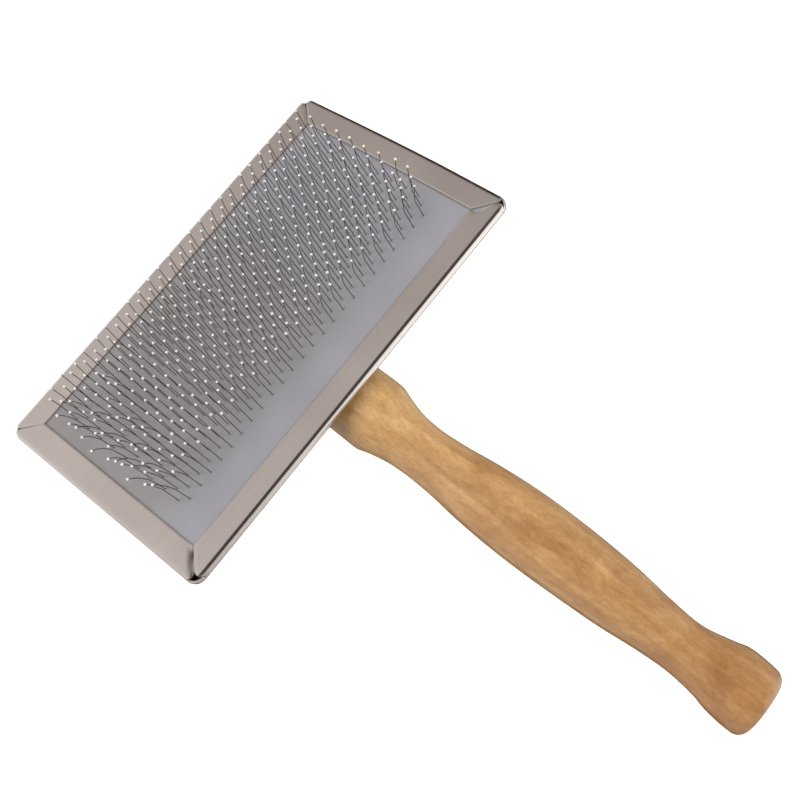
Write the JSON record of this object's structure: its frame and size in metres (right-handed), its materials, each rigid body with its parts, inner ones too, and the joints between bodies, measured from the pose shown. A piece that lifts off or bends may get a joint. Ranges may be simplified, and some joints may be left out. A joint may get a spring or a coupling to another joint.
{
  "type": "slicker brush",
  "caption": "Pet slicker brush: folded steel pan holding a rubber pad of bent wire pins with rounded tips, on a raked wooden handle.",
  "frame": {"origin": "centre of the pan's flat back face", "axes": "+X along the pan's long side, +Y away from the handle, +Z the way the pins point; the handle runs toward -Y and is raked down 18 degrees"},
  "size_m": [0.0994, 0.1514, 0.0586],
  "materials": {
    "stainless_sheet": "satin stainless sheet, rolled grain",
    "felt": "pressed felt, grey",
    "cloth": "woven cotton foundation cloth",
    "pad_rubber": "matte blue-grey rubber face",
    "lacquered_wood": "light beech-like wood under thin satin lacquer",
    "screw_steel": "zinc-plated steel",
    "pin_wire": "drawn steel wire, dark",
    "tip_plastic": "white moulded plastic"
  },
  "bodies": {
    "brush_head": {"head_pan": "stainless_sheet", "cushion": "felt", "foundation_cloth": "cloth", "rubber_pad": "pad_rubber", "handle": "lacquered_wood", "handle_screws": "screw_steel"},
    "pins_01": {"pin_row_01": "pin_wire", "tip_row_01": "tip_plastic"},
    "pins_02": {"pin_row_02": "pin_wire", "tip_row_02": "tip_plastic"},
    "pins_03": {"pin_row_03": "pin_wire", "tip_row_03": "tip_plastic"},
    "pins_04": {"pin_row_04": "pin_wire", "tip_row_04": "tip_plastic"},
    "pins_05": {"pin_row_05": "pin_wire", "tip_row_05": "tip_plastic"},
    "pins_06": {"pin_row_06": "pin_wire", "tip_row_06": "tip_plastic"},
    "pins_07": {"pin_row_07": "pin_wire", "tip_row_07": "tip_plastic"},
    "pins_08": {"pin_row_08": "pin_wire", "tip_row_08": "tip_plastic"},
    "pins_09": {"pin_row_09": "pin_wire", "tip_row_09": "tip_plastic"},
    "pins_10": {"pin_row_10": "pin_wire", "tip_row_10": "tip_plastic"},
    "pins_11": {"pin_row_11": "pin_wire", "tip_row_11": "tip_plastic"},
    "pins_12": {"pin_row_12": "pin_wire", "tip_row_12": "tip_plastic"},
    "pins_13": {"pin_row_13": "pin_wire", "tip_row_13": "tip_plastic"},
    "pins_14": {"pin_row_14": "pin_wire", "tip_row_14": "tip_plastic"},
    "pins_15": {"pin_row_15": "pin_wire", "tip_row_15": "tip_plastic"},
    "pins_16": {"pin_row_16": "pin_wire", "tip_row_16": "tip_plastic"},
    "pins_17": {"pin_row_17": "pin_wire", "tip_row_17": "tip_plastic"},
    "pins_18": {"pin_row_18": "pin_wire", "tip_row_18": "tip_plastic"},
    "pins_19": {"pin_row_19": "pin_wire", "tip_row_19": "tip_plastic"}
  },
  "joints": [
    {"name": "row_01_flex", "type": "hinge", "parent": "brush_head", "child": "pins_01", "pos_m": [0, -0.01505, 0.0012], "axis": [1, 0, 0], "range_deg": [-10, 10], "stiffness_Nm_per_rad": 0.05, "deforming": ["rubber_pad", "foundation_cloth"]},
    {"name": "row_02_flex", "type": "hinge", "parent": "brush_head", "child": "pins_02", "pos_m": [0, -0.0131, 0.0012], "axis": [1, 0, 0], "range_deg": [-10, 10], "stiffness_Nm_per_rad": 0.05},
    {"name": "row_03_flex", "type": "hinge", "parent": "brush_head", "child": "pins_03", "pos_m": [0, -0.01115, 0.0012], "axis": [1, 0, 0], "range_deg": [-10, 10], "stiffness_Nm_per_rad": 0.05},
    {"name": "row_04_flex", "type": "hinge", "parent": "brush_head", "child": "pins_04", "pos_m": [0, -0.0092, 0.0012], "axis": [1, 0, 0], "range_deg": [-10, 10], "stiffness_Nm_per_rad": 0.05},
    {"name": "row_05_flex", "type": "hinge", "parent": "brush_head", "child": "pins_05", "pos_m": [0, -0.00725, 0.0012], "axis": [1, 0, 0], "range_deg": [-10, 10], "stiffness_Nm_per_rad": 0.05},
    {"name": "row_06_flex", "type": "hinge", "parent": "brush_head", "child": "pins_06", "pos_m": [0, -0.0053, 0.0012], "axis": [1, 0, 0], "range_deg": [-10, 10], "stiffness_Nm_per_rad": 0.05},
    {"name": "row_07_flex", "type": "hinge", "parent": "brush_head", "child": "pins_07", "pos_m": [0, -0.00335, 0.0012], "axis": [1, 0, 0], "range_deg": [-10, 10], "stiffness_Nm_per_rad": 0.05},
    {"name": "row_08_flex", "type": "hinge", "parent": "brush_head", "child": "pins_08", "pos_m": [0, -0.0014, 0.0012], "axis": [1, 0, 0], "range_deg": [-10, 10], "stiffness_Nm_per_rad": 0.05},
    {"name": "row_09_flex", "type": "hinge", "parent": "brush_head", "child": "pins_09", "pos_m": [0, 0.00055, 0.0012], "axis": [1, 0, 0], "range_deg": [-10, 10], "stiffness_Nm_per_rad": 0.05},
    {"name": "row_10_flex", "type": "hinge", "parent": "brush_head", "child": "pins_10", "pos_m": [0, 0.0025, 0.0012], "axis": [1, 0, 0], "range_deg": [-10, 10], "stiffness_Nm_per_rad": 0.05},
    {"name": "row_11_flex", "type": "hinge", "parent": "brush_head", "child": "pins_11", "pos_m": [0, 0.00445, 0.0012], "axis": [1, 0, 0], "range_deg": [-10, 10], "stiffness_Nm_per_rad": 0.05},
    {"name": "row_12_flex", "type": "hinge", "parent": "brush_head", "child": "pins_12", "pos_m": [0, 0.0064, 0.0012], "axis": [1, 0, 0], "range_deg": [-10, 10], "stiffness_Nm_per_rad": 0.05},
    {"name": "row_13_flex", "type": "hinge", "parent": "brush_head", "child": "pins_13", "pos_m": [0, 0.00835, 0.0012], "axis": [1, 0, 0], "range_deg": [-10, 10], "stiffness_Nm_per_rad": 0.05},
    {"name": "row_14_flex", "type": "hinge", "parent": "brush_head", "child": "pins_14", "pos_m": [0, 0.0103, 0.0012], "axis": [1, 0, 0], "range_deg": [-10, 10], "stiffness_Nm_per_rad": 0.05},
    {"name": "row_15_flex", "type": "hinge", "parent": "brush_head", "child": "pins_15", "pos_m": [0, 0.01225, 0.0012], "axis": [1, 0, 0], "range_deg": [-10, 10], "stiffness_Nm_per_rad": 0.05},
    {"name": "row_16_flex", "type": "hinge", "parent": "brush_head", "child": "pins_16", "pos_m": [0, 0.0142, 0.0012], "axis": [1, 0, 0], "range_deg": [-10, 10], "stiffness_Nm_per_rad": 0.05},
    {"name": "row_17_flex", "type": "hinge", "parent": "brush_head", "child": "pins_17", "pos_m": [0, 0.01615, 0.0012], "axis": [1, 0, 0], "range_deg": [-10, 10], "stiffness_Nm_per_rad": 0.05},
    {"name": "row_18_flex", "type": "hinge", "parent": "brush_head", "child": "pins_18", "pos_m": [0, 0.0181, 0.0012], "axis": [1, 0, 0], "range_deg": [-10, 10], "stiffness_Nm_per_rad": 0.05},
    {"name": "row_19_flex", "type": "hinge", "parent": "brush_head", "child": "pins_19", "pos_m": [0, 0.02005, 0.0012], "axis": [1, 0, 0], "range_deg": [-10, 10], "stiffness_Nm_per_rad": 0.05}
  ],
  "couplings": [
    {"joint": "row_02_flex", "follows": "row_01_flex", "ratio": 1},
    {"joint": "row_03_flex", "follows": "row_01_flex", "ratio": 1},
    {"joint": "row_04_flex", "follows": "row_01_flex", "ratio": 1},
    {"joint": "row_05_flex", "follows": "row_01_flex", "ratio": 1},
    {"joint": "row_06_flex", "follows": "row_01_flex", "ratio": 1},
    {"joint": "row_07_flex", "follows": "row_01_flex", "ratio": 1},
    {"joint": "row_08_flex", "follows": "row_01_flex", "ratio": 1},
    {"joint": "row_09_flex", "follows": "row_01_flex", "ratio": 1},
    {"joint": "row_10_flex", "follows": "row_01_flex", "ratio": 1},
    {"joint": "row_11_flex", "follows": "row_01_flex", "ratio": 1},
    {"joint": "row_12_flex", "follows": "row_01_flex", "ratio": 1},
    {"joint": "row_13_flex", "follows": "row_01_flex", "ratio": 1},
    {"joint": "row_14_flex", "follows": "row_01_flex", "ratio": 1},
    {"joint": "row_15_flex", "follows": "row_01_flex", "ratio": 1},
    {"joint": "row_16_flex", "follows": "row_01_flex", "ratio": 1},
    {"joint": "row_17_flex", "follows": "row_01_flex", "ratio": 1},
    {"joint": "row_18_flex", "follows": "row_01_flex", "ratio": 1},
    {"joint": "row_19_flex", "follows": "row_01_flex", "ratio": 1}
  ]
}
